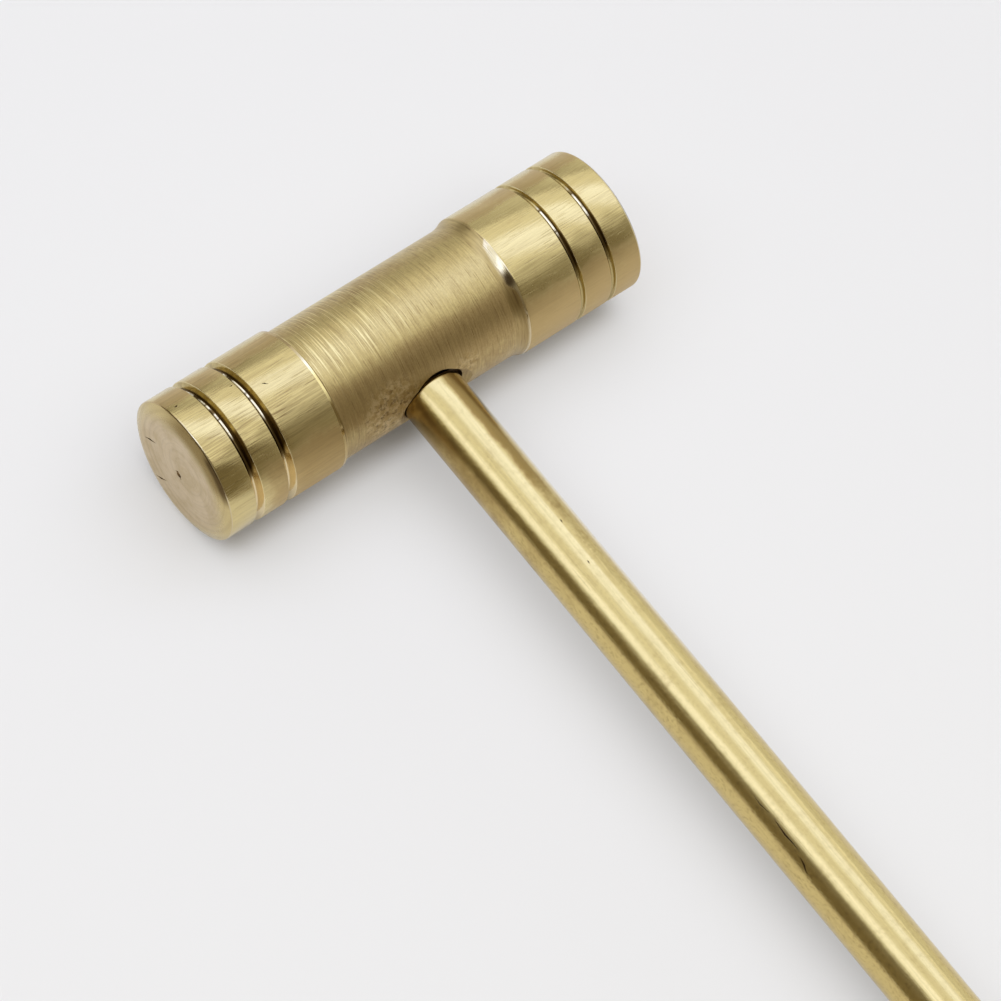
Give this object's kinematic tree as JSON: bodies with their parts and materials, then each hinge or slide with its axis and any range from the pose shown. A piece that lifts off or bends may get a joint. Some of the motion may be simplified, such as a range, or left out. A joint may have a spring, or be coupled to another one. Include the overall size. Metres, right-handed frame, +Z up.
{
  "type": "watchmakers hammer",
  "caption": "Small all-brass hammer with a banded cylindrical head, flat bevelled faces at both ends and a plain round rod handle fixed in the turned waist.",
  "frame": {"origin": "on the surface that the tool lies on, under the middle of its outline", "axes": "+X along the head's axis, -Y along the handle towards its free end, +Z up from the surface"},
  "size_m": [0.0472, 0.172, 0.014],
  "materials": {
    "head_brass": "satin bar with drawing lines on the bands, turned lines on the waist and matte faces",
    "handle_brass": "smooth drawn rod, between satin and bright"
  },
  "bodies": {
    "root": {"hammer_head": "head_brass", "handle": "handle_brass"}
  },
  "joints": []
}
